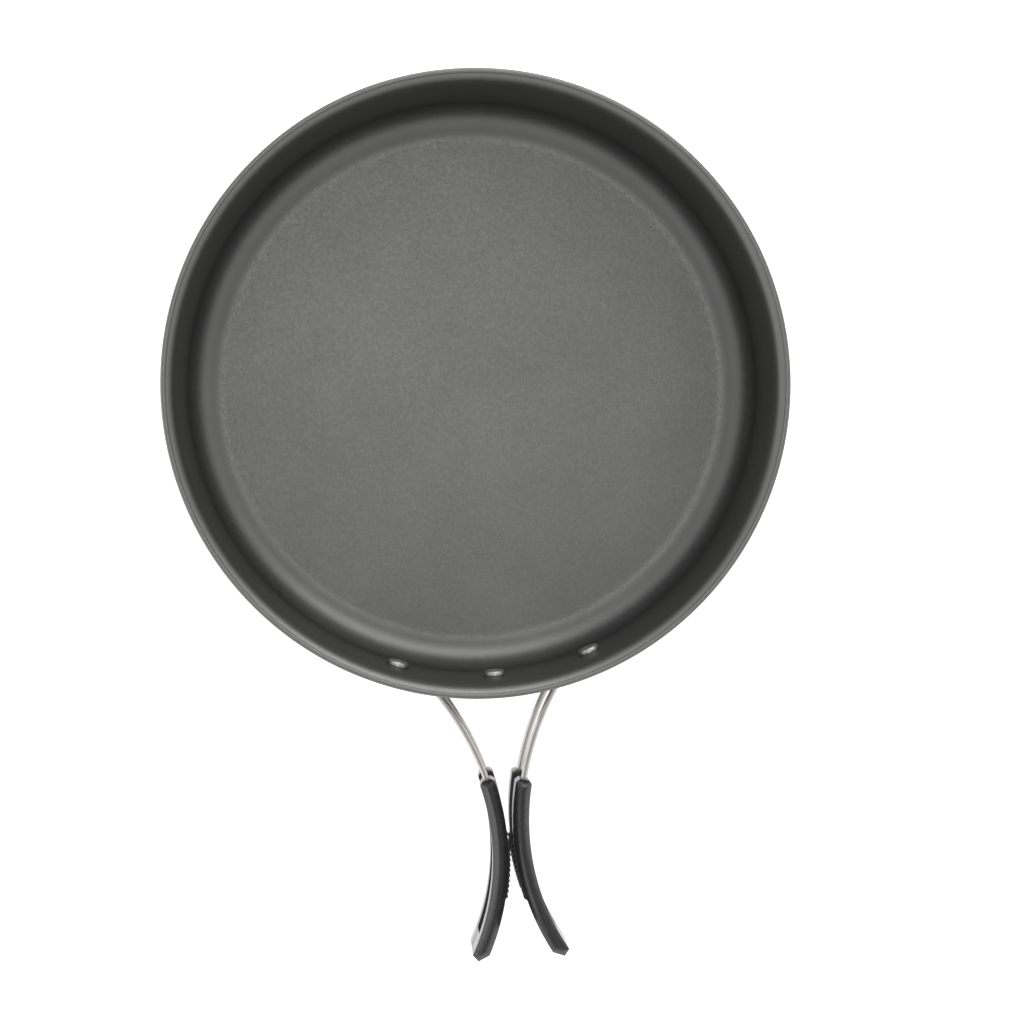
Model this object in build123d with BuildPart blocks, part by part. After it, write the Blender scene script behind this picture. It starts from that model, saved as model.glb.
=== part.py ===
from build123d import *
import os
from math import cos, radians, sin, tan

# A hard-anodised camping frying pan with a pair of fold-away wire handles. Millimetres, +Z up.
# The origin is the centre of the flat base, and the handles reach out along -Y.

# Pan
rim_radius = 120.0
pan_height = 55.0
sheet = 1.8              # thickness of the spun sheet
wall_draft = 4.0         # degrees that the wall leans outwards
wall_inner_top = 114.2   # inner radius just below the lip
lip_start = 49.0         # height where the wall starts to flare into the lip
lip_slope = 25.0         # degrees above horizontal
lip_bend = 6.3
bead_radius = 1.1        # rounded edge of the lip
corner_bend = 14.9       # centreline radius between floor and wall
groove_radii = (62.0, 76.0, 90.0)
groove_width = 1.2
groove_depth = 0.35

# Bracket and rivets
bracket_height = 16.4
bracket_sheet = 1.2
bracket_half_angle = 24.5
bracket_end_fillet = 4.5
fit_gap = 0.02           # between parts that are clamped together
rivet_angle = 19.4       # from the centre rivet to each outer one
shank_radius = 2.0
inner_head_radius = 4.3
inner_head_height = 2.0
dimple_radius = 1.3
dimple_depth = 0.35
outer_head_radius = 3.8
outer_head_height = 1.7

# Handles
hinge_height = 29.0      # middle of the bracket, hinges and rivets
hinge_angle = 12.5       # from the handle's middle line to each hinge
wire_radius = 1.2
pin_wall_gap = 0.3       # from the hinge pin to the pan wall
pin_clearance = 0.05
arm_spacing = 22.0       # between the upper and lower arms of a loop
wire_bend = 2.6
pin_end_gap = 1.0
reach_angle = 47.0       # from straight outwards to the arms' direction at the hinge
lean = 1.4               # both handles lean this much to +X while they touch
wire_arc = 115.0         # centreline radius from hinge to grip
grip_arc = 93.5          # centreline radius along the grip
grip_start = 42.5        # distances along the centreline from the hinge
slot_end = 106.4
loop_end = 110.5
hollow_shoulder = 113.9  # where each long side turns in to the point
full_shoulder = 111.4
tip_point = 115.15

# Grips
grip_root_width = 6.1
grip_tip_width = 6.0
grip_wall = 8.2          # upright side of each bar
roof_height = 2.5
roof_angle = 46.0        # degrees that each roof face leans in from upright
root_chamfer = 1.3
channel_gap = 0.02
parting_gap = 0.1
pad_start = 67.5
pad_end = 89.5
pad_base = 0.45
ridge_count = 11
ridge_radius = 0.6
ridge_rise = 0.9         # top of the ridges above the grip's side
pad_margin = 0.5

draft_slope = tan(radians(wall_draft))
wall_step = sheet / cos(radians(wall_draft))


def inner_radius(height):
    """Radius of the wall's inner face at a height."""
    return wall_inner_top - (lip_start - height) * draft_slope


def outer_radius(height):
    """Radius of the wall's outer face at a height."""
    return inner_radius(height) + wall_step


def export(builder, name):
    builder.part.label = name
    export_step(builder.part, f"parts/{name}.step")


def wall_plane(azimuth, radius, height):
    """Plane at a point beside the wall, with z along the outward normal of the wall and x upwards."""
    outward = Vector(cos(radians(azimuth)), sin(radians(azimuth)), 0)
    normal = outward * cos(radians(wall_draft)) - Vector(0, 0, sin(radians(wall_draft)))
    up = outward * sin(radians(wall_draft)) + Vector(0, 0, cos(radians(wall_draft)))
    return Plane(origin=outward * radius + Vector(0, 0, height), x_dir=up, z_dir=normal)


rivet_azimuths = {"left": -90 - rivet_angle, "centre": -90, "right": -90 + rivet_angle}
rivet_planes = {
    name: wall_plane(azimuth, inner_radius(hinge_height), hinge_height)
    for name, azimuth in rivet_azimuths.items()
}
hinge_radius = outer_radius(hinge_height) + pin_wall_gap + wire_radius


# Pan body: floor, corner, drafted wall, flared lip with a rounded edge
wall_middle = (wall_inner_top + inner_radius(lip_start) + wall_step) / 2
lip_end = (rim_radius - bead_radius, pan_height - bead_radius)
lip_tan = tan(radians(lip_slope))
lip_drop = lip_end[1] - lip_end[0] * lip_tan  # height at which the lip's slope would meet the axis
flare_radius = (wall_middle + draft_slope * (lip_drop - lip_start)) / (1 - draft_slope * lip_tan)
flare_height = lip_end[1] - (lip_end[0] - flare_radius) * lip_tan
corner_radius = wall_middle - (lip_start - sheet / 2) * draft_slope

with BuildPart() as pan_body:
    with BuildSketch(Plane.XZ):
        with BuildLine():
            FilletPolyline(
                (0, sheet / 2),
                (corner_radius, sheet / 2),
                (flare_radius, flare_height),
                lip_end,
                radius=[corner_bend, lip_bend],
            )
        trace(line_width=sheet)
        with Locations(lip_end):
            Circle(bead_radius)
    revolve(axis=Axis.Z)
    with BuildSketch():
        for radius in groove_radii:
            Circle(radius + groove_width / 2)
            Circle(radius - groove_width / 2, mode=Mode.SUBTRACT)
    extrude(amount=groove_depth, mode=Mode.SUBTRACT)
    for plane in rivet_planes.values():
        with BuildSketch(plane):
            Circle(shank_radius + fit_gap)
        extrude(amount=5, both=True, mode=Mode.SUBTRACT)


# Bracket: a strap bent to the wall, with a raised channel over each hinge pin
def hinge_plane(side):
    """Plane square to a hinge pin at its middle, with x straight out from the pan. side is -1 or 1."""
    face = wall_plane(-90 + side * hinge_angle, hinge_radius, hinge_height)
    return Plane(origin=face.origin, x_dir=face.z_dir, z_dir=face.x_dir)


strap_low = hinge_height - bracket_height / 2
strap_high = hinge_height + bracket_height / 2
strap_inner = fit_gap
strap_outer = fit_gap + bracket_sheet
channel_outer = wire_radius + pin_clearance + bracket_sheet
channel_foot = pin_wall_gap + wire_radius - fit_gap
start_azimuth = radians(-90 - bracket_half_angle)

with BuildPart() as handle_bracket:
    strap_plane = Plane(
        origin=(0, 0, 0),
        x_dir=(cos(start_azimuth), sin(start_azimuth), 0),
        z_dir=(sin(start_azimuth), -cos(start_azimuth), 0),
    )
    with BuildSketch(strap_plane):
        with BuildLine():
            Polyline(
                (outer_radius(strap_low) + strap_inner, strap_low),
                (outer_radius(strap_low) + strap_outer, strap_low),
                (outer_radius(strap_high) + strap_outer, strap_high),
                (outer_radius(strap_high) + strap_inner, strap_high),
                close=True,
            )
        make_face()
    revolve(axis=Axis.Z, revolution_arc=2 * bracket_half_angle)
    ends = handle_bracket.edges().filter_by(lambda edge: edge.length < bracket_sheet * 1.1)
    fillet(ends, radius=bracket_end_fillet)
    for side in (-1, 1):
        with BuildSketch(hinge_plane(side)):
            Circle(channel_outer)
            Rectangle(channel_outer, 2 * channel_outer, align=(Align.MAX, Align.CENTER))
            with Locations((-channel_foot, 0)):
                Rectangle(3, 6, align=(Align.MAX, Align.CENTER), mode=Mode.SUBTRACT)
        extrude(amount=bracket_height / 2, both=True)
    for side in (-1, 1):
        with BuildSketch(hinge_plane(side)):
            Circle(wire_radius + pin_clearance)
            Rectangle(3, 2 * (wire_radius + pin_clearance), align=(Align.MAX, Align.CENTER))
        extrude(amount=bracket_height, both=True, mode=Mode.SUBTRACT)
    for plane in rivet_planes.values():
        with BuildSketch(plane):
            Circle(shank_radius + fit_gap)
        extrude(amount=8, mode=Mode.SUBTRACT)


# Rivets: dimpled head inside the pan, shank through wall and strap, rounded tail outside
def make_rivet(plane):
    """plane lies on the wall's inner face, with z out of the pan."""
    head_low = -0.1
    head_top = head_low - inner_head_height
    tail_low = sheet + fit_gap + bracket_sheet + 0.05
    with BuildPart() as rivet:
        with BuildSketch(plane.offset(head_low)):
            Circle(inner_head_radius)
        extrude(amount=-inner_head_height)
        fillet(rivet.edges().sort_by(Axis(plane.origin, plane.z_dir))[0], radius=inner_head_height * 0.8)
        with BuildSketch(plane.offset(head_top)):
            Circle(dimple_radius)
        extrude(amount=dimple_depth, taper=35, mode=Mode.SUBTRACT)
        with BuildSketch(plane.offset(head_low)):
            Circle(shank_radius)
        extrude(amount=tail_low - head_low)
        with BuildSketch(plane.offset(tail_low)):
            Circle(outer_head_radius)
        extrude(amount=outer_head_height)
        fillet(rivet.edges().sort_by(Axis(plane.origin, plane.z_dir))[-1], radius=outer_head_height * 0.85)
    return rivet


# Handle loops. Each is drawn in its hinge's frame: x along the arms at the hinge, z up the pin.
def arm_heading(distance):
    """Angle in radians that the centreline has turned at a distance from the hinge."""
    if distance < grip_start:
        return (distance - wire_bend) / wire_arc
    return (grip_start - wire_bend) / wire_arc + (distance - grip_start) / grip_arc


def arm_point(distance, offset=0.0):
    """Point of the centreline, moved by offset towards its hollow side."""
    turn = arm_heading(grip_start)
    heading = arm_heading(distance)
    bend = wire_arc if distance < grip_start else grip_arc
    x = wire_bend + (bend - offset) * sin(heading) + (wire_arc - bend) * sin(turn)
    y = wire_arc - (bend - offset) * cos(heading) - (wire_arc - bend) * cos(turn)
    return (x, y)


def loop_plane(side, level=1):
    """Frame of a handle at its hinge, with z up the pin for level 1 and down it for level -1.

    In this frame the loop curves towards side * level * Y."""
    radial = hinge_plane(side)
    turn = lean - side * reach_angle
    heading = radial.x_dir * cos(radians(turn)) + radial.y_dir * sin(radians(turn))
    return Plane(origin=radial.origin, x_dir=heading, z_dir=radial.z_dir * level)


def loop_path(side):
    """The loop's centreline, from one end of the wire in the hinge to the other."""
    top = arm_spacing / 2
    drop = wire_bend * (1 - cos(radians(45)))
    reach = wire_bend * sin(radians(45))
    grip_end = loop_end - wire_bend

    with BuildLine(loop_plane(side)) as path:
        for level in (1, -1):

            def place(distance, height, along=0.0):
                x, y = arm_point(distance)
                heading = arm_heading(distance)
                return (x + along * cos(heading), side * (y + along * sin(heading)), level * height)

            def arc(start, end):
                ThreePointArc(place(start, top), place((start + end) / 2, top), place(end, top))

            pin_top = place(wire_bend, top - wire_bend, -wire_bend)
            corner = place(grip_end, top - wire_bend, wire_bend)
            Line((0, 0, level * pin_end_gap / 2), pin_top)
            ThreePointArc(pin_top, place(wire_bend, top - drop, -reach), place(wire_bend, top))
            arc(wire_bend, grip_start)
            arc(grip_start, grip_end)
            ThreePointArc(place(grip_end, top), place(grip_end, top - drop, reach), corner)
            Line(corner, place(grip_end, 0, wire_bend))
    return path.wires()[0]


def make_wire(side):
    with BuildPart() as wire:
        with BuildSketch(loop_plane(side).offset(pin_end_gap / 2)):
            Circle(wire_radius)
        sweep(path=loop_path(side))
    return wire


def grip_half_width(distance):
    share = (distance - grip_start) / (tip_point - grip_start)
    return (grip_root_width + share * (grip_tip_width - grip_root_width)) / 2


def grip_outline(side, start, chamfer):
    """Outline of a grip seen along the pin, from a distance on the centreline to the pointed tip."""

    def place(distance, offset):
        x, y = arm_point(distance, offset)
        return (x, side * y)

    def long_edge(sign, shoulder):
        first = start + chamfer
        stations = (first, (first + shoulder) / 2, shoulder)
        return [place(distance, sign * grip_half_width(distance)) for distance in stations]

    hollow = long_edge(1, hollow_shoulder)
    full = long_edge(-1, full_shoulder)
    inset = grip_half_width(start) - chamfer
    ThreePointArc(*hollow)
    Polyline(hollow[2], place(tip_point, 0), full[2])
    ThreePointArc(*full)
    if chamfer > 0:
        Polyline(full[0], place(start, -inset), place(start, inset), hollow[0])
    else:
        Line(full[0], hollow[0])


def slope_plane(frame, start, end, inward):
    """Plane of a roof face that rises from a straight eave, leaning towards inward. All in the frame."""
    origin = frame.from_local_coords(Vector(*start))
    along = (frame.from_local_coords(Vector(*end)) - origin).normalized()
    lean_in = frame.x_dir * inward[0] + frame.y_dir * inward[1]
    lean_in = (lean_in - along * lean_in.dot(along)).normalized()
    normal = frame.z_dir * sin(radians(roof_angle)) - lean_in * cos(radians(roof_angle))
    return Plane(origin=origin, x_dir=along, z_dir=normal)


def end_eaves(hand, eave):
    """The straight eaves at a grip's two ends: one across the root and two at the pointed tip."""

    def place(distance, offset):
        x, y = arm_point(distance, offset)
        return (x, hand * y, eave)

    root = grip_half_width(grip_start)
    tip = place(tip_point, 0)
    back = place(tip_point - 1, 0)
    tip_inward = (back[0] - tip[0], back[1] - tip[1])
    front = place(grip_start + 1, 0)
    origin = place(grip_start, 0)
    root_inward = (front[0] - origin[0], front[1] - origin[1])
    return (
        (place(grip_start, -root), place(grip_start, root), root_inward),
        (place(hollow_shoulder, grip_half_width(hollow_shoulder)), tip, tip_inward),
        (place(full_shoulder, -grip_half_width(full_shoulder)), tip, tip_inward),
    )


def cut_roof_side(frame, hand, sign, eave):
    """Bevels one long top edge of the grip in the current part. sign is 1 for the hollow side."""
    stations = (grip_start - 1, (grip_start + tip_point) / 2, tip_point + 1)
    points = []
    for distance in stations:
        x, y = arm_point(distance, sign * grip_half_width(distance))
        points.append((x, hand * y, eave))
    heading = arm_heading(stations[0])
    outward = (frame.x_dir * -sin(heading) + frame.y_dir * hand * cos(heading)) * sign
    with BuildLine(frame) as edge:
        ThreePointArc(*points)
    reach = roof_height * 1.4
    spread = tan(radians(roof_angle))
    start = edge.edges()[0] @ 0
    with BuildSketch(Plane(origin=start, x_dir=outward, z_dir=outward.cross(frame.z_dir))) as wedge:
        with BuildLine():
            Polyline((1, -1 / spread), (-reach * spread, reach), (2, reach), close=True)
        make_face()
    sweep(wedge.sketch, path=edge.wires()[0], mode=Mode.SUBTRACT)


def pad_outline(side):
    """Band on the grip's full side that carries the anti-slip ridges."""

    def place(distance, rise):
        x, y = arm_point(distance, -grip_half_width(distance) - rise)
        return (x, side * y)

    middle = (pad_start + pad_end) / 2
    inner = ThreePointArc(place(pad_start, -0.3), place(middle, -0.3), place(pad_end, -0.3))
    ramp = 0.8
    ends = (place(pad_start + ramp, pad_base), place(pad_end - ramp, pad_base))
    outer = ThreePointArc(ends[0], place(middle, pad_base), ends[1])
    Line(inner @ 0, outer @ 0)
    Line(inner @ 1, outer @ 1)


def ridge_places(side):
    """Centres of the pad's ridges, evenly spaced along it."""
    first = pad_start + 1.2
    pitch = (pad_end - 1.2 - first) / (ridge_count - 1)
    places = []
    for index in range(ridge_count):
        distance = first + index * pitch
        x, y = arm_point(distance, -grip_half_width(distance) - ridge_rise + ridge_radius)
        places.append((x, side * y))
    return places


def make_grip(side, level):
    """One moulded half of a grip. level is 1 for the half on the upper arm and -1 for the lower."""
    frame = loop_plane(side, level)
    hand = side * level
    low = (arm_spacing - grip_wall) / 2
    eave = low + grip_wall
    with BuildPart() as grip:
        with BuildSketch(frame.offset(low)):
            with BuildLine():
                grip_outline(hand, grip_start, root_chamfer)
            make_face()
        extrude(amount=grip_wall + roof_height)
        cut_roof_side(frame, hand, 1, eave)
        cut_roof_side(frame, hand, -1, eave)
        for start, end, inward in end_eaves(hand, eave):
            split(bisect_by=slope_plane(frame, start, end, inward), keep=Keep.BOTTOM)
        with BuildSketch(frame.offset(parting_gap / 2)):
            with BuildLine():
                grip_outline(hand, slot_end, 0)
            make_face()
        extrude(amount=low)
        with BuildSketch(frame.offset(low + pad_margin)):
            with BuildLine():
                pad_outline(hand)
            make_face()
            with Locations(*ridge_places(hand)):
                Circle(ridge_radius)
        extrude(amount=grip_wall - 2 * pad_margin)
        with BuildSketch(loop_plane(side).offset(pin_end_gap / 2)):
            Circle(wire_radius + channel_gap)
        sweep(path=loop_path(side), mode=Mode.SUBTRACT)
    return grip


os.makedirs("parts", exist_ok=True)
export(pan_body, "pan_body")
export(handle_bracket, "handle_bracket")
for name, plane in rivet_planes.items():
    export(make_rivet(plane), f"{name}_rivet")
for name, side in (("left", -1), ("right", 1)):
    export(make_wire(side), f"{name}_handle_wire")
    export(make_grip(side, 1), f"{name}_grip_upper")
    export(make_grip(side, -1), f"{name}_grip_lower")
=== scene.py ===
from math import atan2, cos, pi, radians, sin, sqrt, tan

import bmesh
import bpy
from mathutils import Euler, Matrix, Vector


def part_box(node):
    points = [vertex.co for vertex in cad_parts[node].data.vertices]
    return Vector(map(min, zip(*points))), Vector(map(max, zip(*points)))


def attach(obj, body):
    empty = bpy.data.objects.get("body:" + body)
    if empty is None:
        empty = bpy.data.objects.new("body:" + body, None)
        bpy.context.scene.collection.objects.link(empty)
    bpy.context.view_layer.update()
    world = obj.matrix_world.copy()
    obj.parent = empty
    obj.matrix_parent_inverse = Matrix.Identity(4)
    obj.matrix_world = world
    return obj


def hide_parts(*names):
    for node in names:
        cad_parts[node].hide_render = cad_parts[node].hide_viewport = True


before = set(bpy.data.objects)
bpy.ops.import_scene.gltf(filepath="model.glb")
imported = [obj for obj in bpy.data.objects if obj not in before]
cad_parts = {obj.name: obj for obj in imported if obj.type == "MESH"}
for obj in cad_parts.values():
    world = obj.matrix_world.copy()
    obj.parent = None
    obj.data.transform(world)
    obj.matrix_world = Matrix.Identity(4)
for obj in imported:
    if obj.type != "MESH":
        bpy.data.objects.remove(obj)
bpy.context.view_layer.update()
MM = 0.001

# ---------------------------------------------------------------- sizes, in millimetres
PAN_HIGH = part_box("pan_body")[1]
RIM_RADIUS = PAN_HIGH.x / MM
PAN_HEIGHT = PAN_HIGH.z / MM
SHEET = 1.8
DRAFT = radians(4.0)
INNER_TOP = 114.2
LIP_START = 49.0
LIP_SLOPE = radians(25.0)
LIP_BEND = 6.3
BEAD = 1.1
CORNER = 14.9
FLAT_RADIUS = 98
GROOVES = (62.0, 76.0, 90.0)
GROOVE_SHAPE = ((-0.62, 0), (-0.52, 0.25), (-0.3, 0.35), (0.3, 0.35), (0.52, 0.25), (0.62, 0))

HINGE_HEIGHT = 29.0
HINGE_ANGLE = 12.5
RIVET_ANGLE = 19.4
RIVET_DIMPLE = (
    (0, -1.78), (0.7, -1.78), (1.0, -1.8), (1.2, -1.9),
    (1.32, -2.03), (1.5, -2.1), (2.1, -2.1), (2.6, -2.09),
)
RIVET_SHANK = [
    (4.3, -0.2), (4.2, -0.1), (2.0, -0.08), (2.0, 3.05), (3.65, 3.07), (3.8, 3.2), (3.8, 3.35),
]
WIRE = 1.2
WIRE_BEND = 2.6
ARM_SPACING = 22.0
PIN_END = 0.5
REACH = 47.0
LEAN = 1.4
WIRE_ARC = 115.0
GRIP_ARC = 93.5
GRIP_START = 42.5
SLOT_END = 106.4
LOOP_END = 110.5
HOLLOW_SHOULDER = 113.9
FULL_SHOULDER = 111.4
TIP = 115.15
ROOT_WIDTH = 6.1
TIP_WIDTH = 6.0
GRIP_WALL = 8.2
ROOF_HEIGHT = 2.5
ROOF_ANGLE = radians(46.0)
ROOT_CHAMFER = 1.3
PAD_START = 67.5
PAD_END = 89.5
RIDGES = 11

# ---------------------------------------------------------------- surface, light and camera
RING_DRIFT = 6.0
# heights in metres of the lip band painted in a lighter colour: a painted highlight
PAINTED_LIP_HIGHLIGHT = (0.0475, 0.0515)
SKY_STOPS = (
    (0.0, 0.24), (0.12, 0.30), (0.30, 1.00), (0.52, 1.00), (0.68, 0.80), (0.84, 0.54), (1.0, 0.42),
)
FLOOR_DROP = 0.3
CAMERA_LENS = 106.47
CAMERA_PLACE = (-0.05146, -0.03492, 1.205)
CAMERA_TURN = (-0.519, -3.093, -3.953)

SLOPE = tan(DRAFT)
WALL_STEP = SHEET / cos(DRAFT)


def inner_radius(height):
    return INNER_TOP - (LIP_START - height) * SLOPE


def outer_radius(height):
    return inner_radius(height) + WALL_STEP


# ---------------------------------------------------------------- mesh helpers
def new_object(name, bm, body, material):
    """Turns a bmesh in millimetres into a piece that rides on a CAD body."""
    bmesh.ops.scale(bm, vec=(MM, MM, MM), verts=bm.verts)
    bmesh.ops.recalc_face_normals(bm, faces=bm.faces)
    mesh = bpy.data.meshes.new(name)
    bm.to_mesh(mesh)
    bm.free()
    mesh.polygons.foreach_set("use_smooth", [True] * len(mesh.polygons))
    piece = bpy.data.objects.new(name, mesh)
    bpy.context.scene.collection.objects.link(piece)
    mesh.materials.append(material)
    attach(piece, body)
    return piece


def lathe(profile, matrix=Matrix.Identity(4), segments=96):
    """Turns a profile of (radius, height) about Z. Points at radius 0 become poles."""
    bm = bmesh.new()
    rings = []
    for radius, height in profile:
        if radius < 1e-6:
            rings.append([bm.verts.new(matrix @ Vector((0, 0, height)))])
            continue
        ring = []
        for index in range(segments):
            turn = 2 * pi * index / segments
            point = Vector((radius * cos(turn), radius * sin(turn), height))
            ring.append(bm.verts.new(matrix @ point))
        rings.append(ring)
    for low, high in zip(rings, rings[1:]):
        for index in range(segments):
            after = (index + 1) % segments
            corners = [low[index % len(low)], low[after % len(low)]]
            corners += [high[after % len(high)], high[index % len(high)]]
            unique = list(dict.fromkeys(corners))
            if len(unique) > 2:
                bm.faces.new(unique)
    return bm


def skin(bm, rings):
    """Joins closed rings of the same length into a tube with closed ends."""
    loops = [[bm.verts.new(point) for point in ring] for ring in rings]
    count = len(loops[0])
    for low, high in zip(loops, loops[1:]):
        for index in range(count):
            after = (index + 1) % count
            bm.faces.new((low[index], low[after], high[after], high[index]))
    bm.faces.new(loops[0])
    bm.faces.new(loops[-1])


def sharpen_by_angle(piece, angle):
    """Marks edges steeper than the angle as sharp, so that flat faces stay flat in the shading."""
    bm = bmesh.new()
    bm.from_mesh(piece.data)
    for edge in bm.edges:
        edge.smooth = len(edge.link_faces) == 2 and edge.calc_face_angle(0) < angle
    bm.to_mesh(piece.data)
    bm.free()


# ---------------------------------------------------------------- material helpers
def new_material(name, color, metallic=0.0, roughness=0.4):
    material = bpy.data.materials.new(name)
    material.use_nodes = True
    shader = material.node_tree.nodes["Principled BSDF"]
    shader.inputs["Base Color"].default_value = (*color, 1)
    shader.inputs["Metallic"].default_value = metallic
    shader.inputs["Roughness"].default_value = roughness
    return material, material.node_tree, shader


def node(tree, kind, **values):
    made = tree.nodes.new(kind)
    for key, value in values.items():
        if key in made.inputs:
            made.inputs[key].default_value = value
        else:
            setattr(made, key, value)
    return made


def noise(tree, vector, scale, detail=3.0, roughness=0.5):
    made = node(tree, "ShaderNodeTexNoise")
    made.inputs["Scale"].default_value = scale
    made.inputs["Detail"].default_value = detail
    made.inputs["Roughness"].default_value = roughness
    tree.links.new(vector, made.inputs["Vector"])
    return made.outputs["Fac"]


def spread(tree, value, low, high, start=0.3, end=0.7):
    """Maps a noise value to the range from low to high."""
    made = node(tree, "ShaderNodeMapRange")
    for key, number in (("From Min", start), ("From Max", end), ("To Min", low), ("To Max", high)):
        made.inputs[key].default_value = number
    tree.links.new(value, made.inputs["Value"])
    return made.outputs["Result"]


def blend_colors(tree, factor, first, second):
    made = node(tree, "ShaderNodeMix", data_type="RGBA")
    tree.links.new(factor, made.inputs["Factor"])
    made.inputs[6].default_value = (*first, 1)
    made.inputs[7].default_value = (*second, 1)
    return made.outputs[2]


def math(tree, operation, first, second):
    made = node(tree, "ShaderNodeMath", operation=operation)
    for socket, value in zip(made.inputs, (first, second)):
        if isinstance(value, (int, float)):
            socket.default_value = value
        else:
            tree.links.new(value, socket)
    return made.outputs[0]


def bump(tree, height, distance, strength, normal=None):
    made = node(tree, "ShaderNodeBump")
    made.inputs["Distance"].default_value = distance
    made.inputs["Strength"].default_value = strength
    tree.links.new(height, made.inputs["Height"])
    if normal is not None:
        tree.links.new(normal, made.inputs["Normal"])
    return made.outputs["Normal"]


def object_coordinates(tree):
    return node(tree, "ShaderNodeTexCoord").outputs["Object"]


def turned_coordinates(tree):
    """Distance from the axis, height and a slow drift, so that a noise on them makes spun rings."""
    split = node(tree, "ShaderNodeSeparateXYZ")
    tree.links.new(object_coordinates(tree), split.inputs[0])
    x, y, z = split.outputs
    squares = math(tree, "ADD", math(tree, "MULTIPLY", x, x), math(tree, "MULTIPLY", y, y))
    radius = math(tree, "SQRT", squares, 0.5)
    joined = node(tree, "ShaderNodeCombineXYZ")
    tree.links.new(radius, joined.inputs[0])
    tree.links.new(z, joined.inputs[1])
    tree.links.new(math(tree, "MULTIPLY", x, RING_DRIFT), joined.inputs[2])
    return joined.outputs[0]


# ---------------------------------------------------------------- materials
def hard_anodised():
    """Dark grey anodised aluminium: satin grain, spun rings, cloudy patches and a painted highlight on the
    lip, a lighter band of colour.
    """
    material, tree, shader = new_material("hard_anodised", (0.155, 0.155, 0.153), 1.0, 0.42)
    shader.inputs["Specular Tint"].default_value = (0.85, 0.86, 0.85, 1)
    place = object_coordinates(tree)
    rings = turned_coordinates(tree)
    cloud = noise(tree, place, 22.0, 4.0, 0.55)
    grain = noise(tree, place, 2600.0, 2.0, 0.6)
    fleck = noise(tree, place, 700.0, 3.0, 0.65)
    spun = noise(tree, rings, 900.0, 2.0, 0.5)
    tone = math(tree, "ADD", math(tree, "MULTIPLY", cloud, 0.6), math(tree, "MULTIPLY", fleck, 0.4))
    patches = spread(tree, tone, 0, 1, 0.35, 0.65)
    color = blend_colors(tree, patches, (0.150, 0.151, 0.148), (0.174, 0.175, 0.172))
    height = node(tree, "ShaderNodeSeparateXYZ")
    tree.links.new(place, height.inputs[0])
    # painted highlight: above about 48 mm the lip gets a lighter colour for the light it catches, with a
    # wobbly lower edge
    uneven = math(tree, "ADD", height.outputs[2], math(tree, "MULTIPLY", cloud, 0.002))
    painted_highlight_mask = spread(tree, uneven, 0, 1, *PAINTED_LIP_HIGHLIGHT)
    painted_highlight_mix = node(tree, "ShaderNodeMix", data_type="RGBA")
    tree.links.new(painted_highlight_mask, painted_highlight_mix.inputs["Factor"])
    tree.links.new(color, painted_highlight_mix.inputs[6])
    # lighter colour of the painted lip highlight
    painted_highlight_mix.inputs[7].default_value = (0.212, 0.213, 0.208, 1)
    tree.links.new(painted_highlight_mix.outputs[2], shader.inputs["Base Color"])
    rough = math(tree, "ADD", spread(tree, fleck, 0.38, 0.47), spread(tree, spun, -0.02, 0.02))
    tree.links.new(rough, shader.inputs["Roughness"])
    fine = bump(tree, grain, 0.00006, 0.35)
    tree.links.new(bump(tree, spun, 0.00005, 0.25, fine), shader.inputs["Normal"])
    return material


def steel(name, color, roughness, grain_scale, tall, edge):
    """Stainless steel with drawing or rolling marks along the part and a few handling marks."""
    material, tree, shader = new_material(name, color, 1.0, roughness)
    shader.inputs["Specular Tint"].default_value = (edge, edge, edge, 1)
    place = object_coordinates(tree)
    mapping = node(tree, "ShaderNodeMapping")
    mapping.inputs["Scale"].default_value = (1.0, 1.0, tall)
    tree.links.new(place, mapping.inputs["Vector"])
    lines = noise(tree, mapping.outputs[0], grain_scale, 3.0, 0.6)
    marks = noise(tree, place, 260.0, 5.0, 0.7)
    shade = math(tree, "ADD", math(tree, "MULTIPLY", lines, 0.5), math(tree, "MULTIPLY", marks, 0.5))
    darker = tuple(channel * 0.86 for channel in color)
    tone = blend_colors(tree, spread(tree, shade, 0, 1, 0.35, 0.65), darker, color)
    tree.links.new(tone, shader.inputs["Base Color"])
    rough = spread(tree, shade, roughness - 0.05, roughness + 0.07)
    tree.links.new(rough, shader.inputs["Roughness"])
    tree.links.new(bump(tree, lines, 0.00003, 0.2), shader.inputs["Normal"])
    return material


def moulded_plastic():
    """Black glossy moulded plastic with a faint orange-peel surface and fine scratches."""
    material, tree, shader = new_material("moulded_plastic", (0.02, 0.02, 0.021), 0.0, 0.14)
    shader.inputs["IOR"].default_value = 1.54
    place = object_coordinates(tree)
    peel = noise(tree, place, 420.0, 2.0, 0.5)
    stretched = node(tree, "ShaderNodeMapping")
    stretched.inputs["Scale"].default_value = (1.0, 0.06, 1.0)
    stretched.inputs["Rotation"].default_value = (0, 0, 0.2)
    tree.links.new(place, stretched.inputs["Vector"])
    scratches = noise(tree, stretched.outputs[0], 3800.0, 2.0, 0.7)
    tone = blend_colors(tree, spread(tree, peel, 0, 1), (0.016, 0.016, 0.017), (0.026, 0.026, 0.027))
    tree.links.new(tone, shader.inputs["Base Color"])
    tree.links.new(spread(tree, scratches, 0.15, 0.26), shader.inputs["Roughness"])
    soft = bump(tree, peel, 0.00005, 0.12)
    tree.links.new(bump(tree, scratches, 0.00001, 0.12, soft), shader.inputs["Normal"])
    return material


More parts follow.
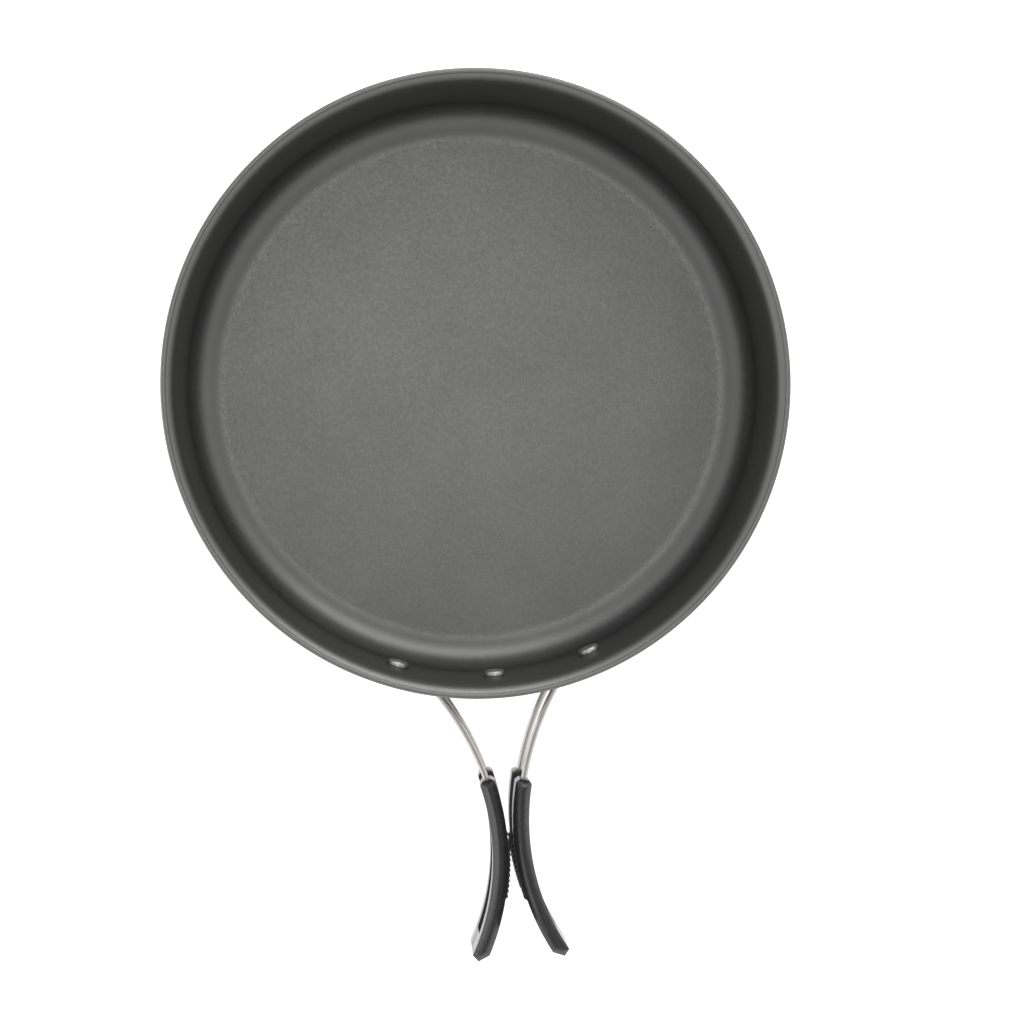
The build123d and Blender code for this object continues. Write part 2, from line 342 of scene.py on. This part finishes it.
def soft_rubber():
    """Matte black over-moulded rubber for the ridged pads."""
    material, tree, shader = new_material("soft_rubber", (0.018, 0.018, 0.018), 0.0, 0.55)
    place = object_coordinates(tree)
    grit = noise(tree, place, 2400.0, 3.0, 0.6)
    dust = noise(tree, place, 240.0, 4.0, 0.6)
    tone = blend_colors(tree, spread(tree, dust, 0, 1), (0.014, 0.014, 0.014), (0.027, 0.027, 0.026))
    tree.links.new(tone, shader.inputs["Base Color"])
    tree.links.new(spread(tree, dust, 0.48, 0.62), shader.inputs["Roughness"])
    tree.links.new(bump(tree, grit, 0.00008, 0.4), shader.inputs["Normal"])
    return material


ANODISED = hard_anodised()
WIRE_STEEL = steel("drawn_wire", (0.66, 0.64, 0.61), 0.15, 1500.0, 1.0, 0.06)
BRACKET_STEEL = steel("rolled_plate", (0.58, 0.58, 0.57), 0.27, 900.0, 9.0, 0.6)
RIVET_METAL = steel("polished_rivet", (0.50, 0.50, 0.49), 0.42, 1200.0, 1.0, 0.7)
PLASTIC = moulded_plastic()
RUBBER = soft_rubber()


# ---------------------------------------------------------------- pan
def pan_corners():
    """Corners of the sheet's middle line: centre, foot of the wall, foot of the lip and rim."""
    middle = (INNER_TOP + inner_radius(LIP_START) + WALL_STEP) / 2
    end = Vector((RIM_RADIUS - BEAD, PAN_HEIGHT - BEAD))
    lip_tan = tan(LIP_SLOPE)
    flare = middle - LIP_START * SLOPE + SLOPE * (end.y - end.x * lip_tan)
    flare /= 1 - SLOPE * lip_tan
    return [
        Vector((0, SHEET / 2)),
        Vector((middle - (LIP_START - SHEET / 2) * SLOPE, SHEET / 2)),
        Vector((flare, end.y - (end.x - flare) * lip_tan)),
        end,
    ]


def bend_points(corners, index, bend, steps):
    """Points and normals of the middle line's bend at a corner."""
    before = (corners[index] - corners[index - 1]).normalized()
    after = (corners[index + 1] - corners[index]).normalized()
    turn = before.angle(after)
    sense = 1 if before.x * after.y - before.y * after.x > 0 else -1
    normal = Vector((-before.y, before.x)) * sense
    centre = corners[index] - before * bend * tan(turn / 2) + normal * bend
    points = []
    for step in range(steps + 1):
        angle = turn * step / steps
        arm = -normal * cos(angle) + before * sin(angle)
        heading = before * cos(angle) + normal * sin(angle)
        points.append((centre + arm * bend, Vector((-heading.y, heading.x))))
    return points


def straight_points(first, last, steps, count):
    """Points and normals between two ends, the first left out, at shares of 1 / steps."""
    along = (last - first).normalized()
    normal = Vector((-along.y, along.x))
    return [(first.lerp(last, step / steps), normal) for step in range(1, count + 1)]


def pan_profile():
    """Closed section of the pan: inside from the centre to the lip, the bead and back outside."""
    corners = pan_corners()
    end = corners[3]
    line = [(Vector((radius, SHEET / 2)), Vector((0, 1))) for radius in range(0, 97, 4)]
    line += bend_points(corners, 1, CORNER, 28)
    lip = bend_points(corners, 2, LIP_BEND, 18)
    line += straight_points(line[-1][0], lip[0][0], 12, 11) + lip
    along = (end - corners[2]).normalized()
    across = Vector((-along.y, along.x))
    back = sqrt(BEAD**2 - (SHEET / 2) ** 2)
    line += straight_points(line[-1][0], end - along * back, 5, 5)
    inside = [point + normal * SHEET / 2 for point, normal in line]
    outside = [point - normal * SHEET / 2 for point, normal in line]
    open_angle = pi - atan2(SHEET / 2, back)
    bead = []
    for step in range(1, 24):
        angle = open_angle - 2 * open_angle * step / 24
        bead.append(end + along * BEAD * cos(angle) + across * BEAD * sin(angle))
    return inside, bead, outside


def grooved(outside):
    """Adds the shallow rings pressed into the underside."""
    radii = sorted(point.x for point in outside if point.y < 0.01 and point.x < FLAT_RADIUS)
    flat = [Vector((radius, 0)) for radius in radii]
    for groove in GROOVES:
        flat = [point for point in flat if abs(point.x - groove) > 1.0]
        for shift, depth in GROOVE_SHAPE:
            flat.append(Vector((groove + shift, depth)))
    rest = [point for point in outside if point.y >= 0.01 or point.x >= FLAT_RADIUS]
    return sorted(flat, key=lambda point: point.x) + rest


inside, bead, outside = pan_profile()
section = [tuple(point) for point in inside + bead]
section += [tuple(point) for point in reversed(grooved(outside))]
pan = new_object("pan_shell", lathe(section, segments=360), "pan", ANODISED)
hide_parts("pan_body")


# ---------------------------------------------------------------- rivets
def wall_matrix(azimuth, radius, height):
    """Local z along the wall's outward normal and x up the wall."""
    turn = radians(azimuth)
    outward = Vector((cos(turn), sin(turn), 0))
    normal = outward * cos(DRAFT) - Vector((0, 0, sin(DRAFT)))
    up = outward * sin(DRAFT) + Vector((0, 0, cos(DRAFT)))
    side = normal.cross(up)
    matrix = Matrix((up, side, normal)).transposed().to_4x4()
    matrix.translation = outward * radius + Vector((0, 0, height))
    return matrix


def rivet_profile():
    """Dimpled head inside the pan, shank, and rounded tail outside."""
    points = list(RIVET_DIMPLE)
    for step in range(1, 13):
        turn = step * pi / 24
        points.append((4.3 - 1.1 + 1.1 * sin(turn), -0.4 - 1.68 * cos(turn)))
    points += RIVET_SHANK
    for step in range(1, 11):
        turn = step * pi / 20
        points.append((3.8 - 1.45 + 1.45 * cos(turn), 3.35 + 1.4 * sin(turn)))
    return points + [(1.2, 4.77), (0, 4.77)]


for name, offset in (("left", -RIVET_ANGLE), ("centre", 0), ("right", RIVET_ANGLE)):
    place = wall_matrix(-90 + offset, inner_radius(HINGE_HEIGHT), HINGE_HEIGHT)
    shape = lathe(rivet_profile(), place, 72)
    rivet = new_object(f"{name}_rivet_body", shape, "pan", RIVET_METAL)
    sharpen_by_angle(rivet, radians(40))
    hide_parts(f"{name}_rivet")


# ---------------------------------------------------------------- bracket
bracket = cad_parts["handle_bracket"]
for slot in bracket.material_slots:
    slot.material = BRACKET_STEEL


# ---------------------------------------------------------------- handles
def handle_matrix(side):
    """Frame of a handle at its hinge: x along the arms, z up the pin."""
    radius = outer_radius(HINGE_HEIGHT) + 0.3 + WIRE
    face = wall_matrix(-90 + side * HINGE_ANGLE, radius, HINGE_HEIGHT)
    up, _, normal = (face.col[index].to_3d() for index in range(3))
    cross = up.cross(normal)
    turn = radians(LEAN - side * REACH)
    heading = normal * cos(turn) + cross * sin(turn)
    matrix = Matrix((heading, up.cross(heading), up)).transposed().to_4x4()
    matrix.translation = face.translation
    return matrix


def arm_heading(distance):
    if distance < GRIP_START:
        return (distance - WIRE_BEND) / WIRE_ARC
    return (GRIP_START - WIRE_BEND) / WIRE_ARC + (distance - GRIP_START) / GRIP_ARC


def arm_point(distance, offset=0.0):
    """Point of the arm's centreline, moved by offset towards its hollow side."""
    turn = arm_heading(GRIP_START)
    heading = arm_heading(distance)
    bend = WIRE_ARC if distance < GRIP_START else GRIP_ARC
    x = WIRE_BEND + (bend - offset) * sin(heading) + (WIRE_ARC - bend) * sin(turn)
    y = WIRE_ARC - (bend - offset) * cos(heading) - (WIRE_ARC - bend) * cos(turn)
    return Vector((x, y))


def half_loop():
    """Points and directions along the upper half of a wire, from the pin's end to mid-height."""
    top = ARM_SPACING / 2
    points = [Vector((0, 0, PIN_END + (top - WIRE_BEND - PIN_END) * step / 6)) for step in range(7)]
    for step in range(1, 13):
        turn = pi / 2 * step / 12
        points.append(Vector((WIRE_BEND * (1 - cos(turn)), 0, top - WIRE_BEND * (1 - sin(turn)))))
    grip_end = LOOP_END - WIRE_BEND
    for step in range(1, 71):
        distance = WIRE_BEND + (grip_end - WIRE_BEND) * step / 70
        points.append(Vector((*arm_point(distance), top)))
    heading = Vector((cos(arm_heading(grip_end)), sin(arm_heading(grip_end)), 0))
    start = Vector((*arm_point(grip_end), 0))
    for step in range(1, 13):
        turn = pi / 2 * step / 12
        reach = start + heading * WIRE_BEND * sin(turn)
        points.append(reach + Vector((0, 0, top - WIRE_BEND * (1 - cos(turn)))))
    for step in range(1, 5):
        points.append(start + heading * WIRE_BEND + Vector((0, 0, (top - WIRE_BEND) * (1 - step / 4))))
    return points


def wire_mesh(side, matrix):
    upper = half_loop()
    points = upper + [Vector((point.x, point.y, -point.z)) for point in reversed(upper[:-1])]
    points = [Vector((point.x, side * point.y, point.z)) for point in points]
    sides = 28
    bm = bmesh.new()
    rings = []
    across = Vector((0, 1, 0))
    for index, point in enumerate(points):
        before = points[max(index - 1, 0)]
        after = points[min(index + 1, len(points) - 1)]
        along = (after - before).normalized()
        across = (across - along * across.dot(along)).normalized()
        other = along.cross(across)
        ring = []
        for step in range(sides):
            turn = 2 * pi * step / sides
            ring.append(matrix @ (point + (across * cos(turn) + other * sin(turn)) * WIRE))
        rings.append(ring)
    skin(bm, rings)
    return bm


def half_width(distance):
    share = (distance - GRIP_START) / (TIP - GRIP_START)
    return (ROOT_WIDTH + share * (TIP_WIDTH - ROOT_WIDTH)) / 2


def cut(bm, point, normal):
    """Cuts off what lies on the normal's side of a plane, and closes the cut."""
    geometry = bm.verts[:] + bm.edges[:] + bm.faces[:]
    made = bmesh.ops.bisect_plane(bm, geom=geometry, plane_co=point, plane_no=normal, clear_outer=True)
    edges = [item for item in made["geom_cut"] if isinstance(item, bmesh.types.BMEdge)]
    bmesh.ops.edgeloop_fill(bm, edges=edges)


def tip_corners():
    hollow = arm_point(HOLLOW_SHOULDER, half_width(HOLLOW_SHOULDER))
    full = arm_point(FULL_SHOULDER, -half_width(FULL_SHOULDER))
    return hollow, arm_point(TIP), full


def flat_normal(first, second, inward):
    """Horizontal normal of the line between two points, pointing away from inward."""
    along = (second - first).normalized()
    normal = Vector((-along.y, along.x))
    if normal.dot(inward - first) > 0:
        normal = -normal
    return normal


def grip_mesh():
    """One half of a grip: upright walls, hipped roof and pointed tip, down to the parting line."""
    eave = (ARM_SPACING + GRIP_WALL) / 2
    bm = bmesh.new()
    rings = []
    count = 64
    for index in range(count + 1):
        distance = GRIP_START - 1 + (TIP + 2 - GRIP_START) * index / count
        width = half_width(distance)
        crest = width - ROOF_HEIGHT * tan(ROOF_ANGLE)
        outline = ((width, 0.05), (width, eave), (crest, eave + ROOF_HEIGHT))
        outline += ((-crest, eave + ROOF_HEIGHT), (-width, eave), (-width, 0.05))
        rings.append([Vector((*arm_point(distance, offset), height)) for offset, height in outline])
    skin(bm, rings)
    bmesh.ops.recalc_face_normals(bm, faces=bm.faces)

    root = arm_point(GRIP_START)
    heading = arm_heading(GRIP_START)
    back = Vector((-cos(heading), -sin(heading)))
    aside = Vector((-sin(heading), cos(heading)))
    cut(bm, (*root, 0), (*back, 0))
    for sign in (1, -1):
        corner = root + aside * sign * (half_width(GRIP_START) - ROOT_CHAMFER)
        cut(bm, (*corner, 0), (*(back + aside * sign).normalized(), 0))
    slant = (cos(ROOF_ANGLE), sin(ROOF_ANGLE))
    cut(bm, (*root, eave), (*(back * slant[0]), slant[1]))
    hollow, point, full = tip_corners()
    inner = arm_point(FULL_SHOULDER - 6)
    for corner in (hollow, full):
        normal = flat_normal(corner, point, inner)
        cut(bm, (*corner, 0), (*normal, 0))
    for corner in (hollow, full):
        normal = flat_normal(corner, point, inner)
        cut(bm, (*corner, eave), (*(normal * slant[0]), slant[1]))
    return bm


def slot_mesh():
    """The room below a bar, from before its root to the tip wall."""
    bm = bmesh.new()
    rings = []
    low = (ARM_SPACING - GRIP_WALL) / 2
    for index in range(41):
        distance = GRIP_START - 6 + (SLOT_END - GRIP_START + 6) * index / 40
        outline = ((6, -2), (6, low), (-6, low), (-6, -2))
        rings.append([Vector((*arm_point(distance, offset), height)) for offset, height in outline])
    skin(bm, rings)
    bmesh.ops.recalc_face_normals(bm, faces=bm.faces)
    return bm


def temporary(name, bm):
    mesh = bpy.data.meshes.new(name)
    bm.to_mesh(mesh)
    bm.free()
    made = bpy.data.objects.new(name, mesh)
    bpy.context.scene.collection.objects.link(made)
    return made


def finished_grip(place):
    """Cuts the slot out of the grip, rounds its edges and puts it in place."""
    body = temporary("grip_blank", grip_mesh())
    room = temporary("grip_slot", slot_mesh())
    boolean = body.modifiers.new("slot", "BOOLEAN")
    boolean.operation = "DIFFERENCE"
    boolean.solver = "EXACT"
    boolean.object = room
    bevel = body.modifiers.new("edges", "BEVEL")
    bevel.width = 0.17
    bevel.segments = 3
    bevel.limit_method = "ANGLE"
    bevel.angle_limit = radians(14)
    bevel.harden_normals = False
    bpy.context.view_layer.update()
    shown = body.evaluated_get(bpy.context.evaluated_depsgraph_get())
    bm = bmesh.new()
    bm.from_mesh(shown.to_mesh())
    shown.to_mesh_clear()
    for made in (body, room):
        mesh = made.data
        bpy.data.objects.remove(made)
        bpy.data.meshes.remove(mesh)
    bmesh.ops.transform(bm, matrix=place, verts=bm.verts)
    return bm


def pad_mesh(place):
    """Ridged pad on the grip's full side, with rounded ends to each ridge."""
    low = (ARM_SPACING - GRIP_WALL) / 2 + 0.5
    high = low + GRIP_WALL - 1
    first = PAD_START + 1.2
    pitch = (PAD_END - 1.2 - first) / (RIDGES - 1)
    bm = bmesh.new()
    rings = []
    count = RIDGES * 16
    for index in range(count + 1):
        distance = PAD_START + 0.25 + (PAD_END - PAD_START - 0.5) * index / count
        nearest = first + round((distance - first) / pitch) * pitch
        gap = abs(distance - nearest)
        on_ridge = gap < 0.58 and first - 0.1 < nearest < PAD_END - 1.1
        ridge = 0.3 + sqrt(0.36 - gap**2) if on_ridge else 0
        ends = min(1, (distance - PAD_START) / 0.8, (PAD_END - distance) / 0.8)
        base = 0.45 * max(ends, 0)
        ring = [(-0.3, low)]
        for share in (0, 0.03, 0.07, 0.12, 0.5, 0.88, 0.93, 0.97, 1):
            edge = min(share, 1 - share)
            fall = sqrt(max(0, 1 - (1 - min(1, edge / 0.12)) ** 2))
            rise = base * min(1, 0.4 + fall) + max(0, ridge - base) * fall
            ring.append((rise, low + (high - low) * share))
        ring.append((-0.3, high))
        width = half_width(distance)
        rings.append([Vector((*arm_point(distance, -width - out), height)) for out, height in ring])
    skin(bm, rings)
    bmesh.ops.transform(bm, matrix=place, verts=bm.verts)
    return bm


for name, side in (("left", -1), ("right", 1)):
    body = f"{name}_handle"
    place = handle_matrix(side)
    wire = new_object(f"{name}_wire_loop", wire_mesh(side, place), body, WIRE_STEEL)
    sharpen_by_angle(wire, radians(50))
    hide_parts(f"{name}_handle_wire")
    for half, level in (("upper", 1), ("lower", -1)):
        seat = place @ Matrix.Diagonal((1, side, level, 1))
        grip_name = f"{name}_{half}_grip"
        grip = new_object(f"{grip_name}_body", finished_grip(seat), body, PLASTIC)
        sharpen_by_angle(grip, radians(34))
        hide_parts(f"{name}_grip_{half}")
        pad = new_object(f"{grip_name}_pad", pad_mesh(seat), body, RUBBER)
        sharpen_by_angle(pad, radians(50))


# ---------------------------------------------------------------- floor, light and camera
def plain_floor():
    bm = bmesh.new()
    bmesh.ops.create_grid(bm, x_segments=8, y_segments=8, size=6.0)
    mesh = bpy.data.meshes.new("floor")
    bm.to_mesh(mesh)
    bm.free()
    floor = bpy.data.objects.new("floor", mesh)
    floor.location = (0, 0, -FLOOR_DROP * MM)
    bpy.context.scene.collection.objects.link(floor)
    material, tree, shader = new_material("floor_white", (0.92, 0.92, 0.92), 0.0, 0.8)
    shader.inputs["Emission Color"].default_value = (1, 1, 1, 1)
    shader.inputs["Emission Strength"].default_value = 0.75
    grain = noise(tree, object_coordinates(tree), 30.0, 3.0)
    tone = blend_colors(tree, spread(tree, grain, 0, 1), (0.91, 0.91, 0.91), (0.93, 0.93, 0.93))
    tree.links.new(tone, shader.inputs["Base Color"])
    mesh.materials.append(material)


def sky():
    """Studio dome: dim at the horizon, brightest at mid height, half as bright overhead."""
    world = bpy.data.worlds.new("studio")
    bpy.context.scene.world = world
    world.use_nodes = True
    tree = world.node_tree
    split = node(tree, "ShaderNodeSeparateXYZ")
    tree.links.new(node(tree, "ShaderNodeTexCoord").outputs["Generated"], split.inputs[0])
    ramp = node(tree, "ShaderNodeValToRGB")
    tree.links.new(split.outputs[2], ramp.inputs[0])
    elements = ramp.color_ramp.elements
    while len(elements) < len(SKY_STOPS):
        elements.new(0.5)
    for element, (position, value) in zip(elements, SKY_STOPS):
        element.position = position
        element.color = (value, value, value, 1)
    tree.links.new(ramp.outputs[0], tree.nodes["Background"].inputs["Color"])
    tree.nodes["Background"].inputs["Strength"].default_value = 1.0


def softbox(name, place, target, size, power):
    light = bpy.data.lights.new(name, "AREA")
    light.shape = "RECTANGLE"
    light.size, light.size_y = size
    light.energy = power
    holder = bpy.data.objects.new(name, light)
    bpy.context.scene.collection.objects.link(holder)
    holder.location = place
    aim = Vector(target) - Vector(place)
    holder.rotation_euler = aim.to_track_quat("-Z", "Y").to_euler()


def camera():
    data = bpy.data.cameras.new("camera")
    data.lens = CAMERA_LENS
    data.sensor_width = 36.0
    data.clip_end = 20
    holder = bpy.data.objects.new("camera", data)
    bpy.context.scene.collection.objects.link(holder)
    holder.location = CAMERA_PLACE
    holder.rotation_euler = Euler([radians(angle) for angle in CAMERA_TURN], "XYZ")
    bpy.context.scene.camera = holder


plain_floor()
sky()
softbox("left_box", (-1.6, -0.3, 0.16), (0, -0.15, 0.03), (1.8, 0.26), 3.0)
softbox("far_box", (0.5, 1.5, 0.95), (0, 0, 0.02), (1.6, 0.9), 9)
softbox("top_box", (0.0, 0.10, 1.35), (0, 0.04, 0), (0.36, 0.36), 1.8)
camera()
bpy.context.scene.view_settings.view_transform = "Standard"
